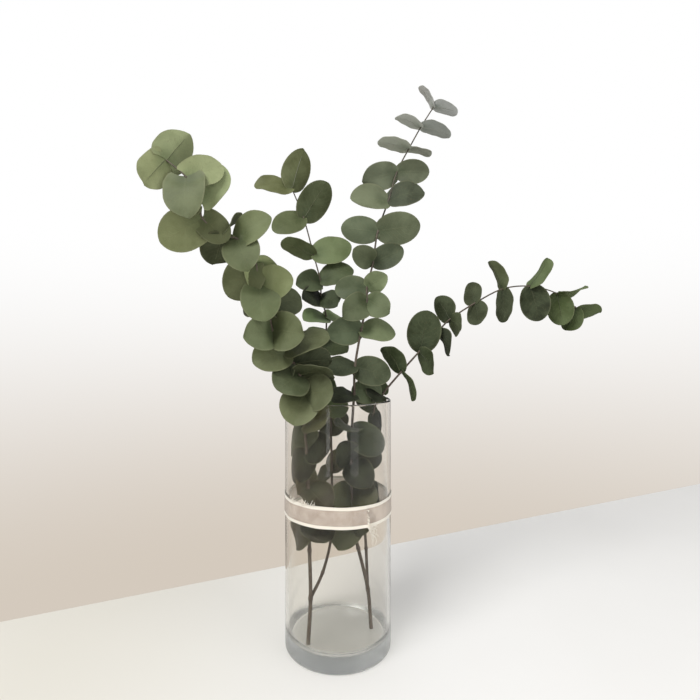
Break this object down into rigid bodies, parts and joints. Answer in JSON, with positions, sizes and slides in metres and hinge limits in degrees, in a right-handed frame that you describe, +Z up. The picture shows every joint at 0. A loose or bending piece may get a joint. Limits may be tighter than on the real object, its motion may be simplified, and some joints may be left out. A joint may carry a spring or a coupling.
{
  "type": "eucalyptus branch arrangement",
  "caption": "Forked eucalyptus branches with round, paired leaves, standing loose in a clear cylinder vase that has a sheer ribbon round it.",
  "frame": {"origin": "centre of the vase's flat underside", "axes": "+Z up, +X to the right as seen from the front, +Y to the back, away from the side where the ribbon's end is lapped"},
  "size_m": [0.4446, 0.2067, 0.5449],
  "materials": {
    "clear_glass": "smooth and clear",
    "ribbon_satin": "sheer weave with satin edges",
    "eucalyptus": "matt grey-green leaves on brown stems"
  },
  "bodies": {
    "root": {"glass_vase": "clear_glass", "ribbon": "ribbon_satin", "left_branch": "eucalyptus", "right_branch": "eucalyptus"}
  },
  "joints": []
}
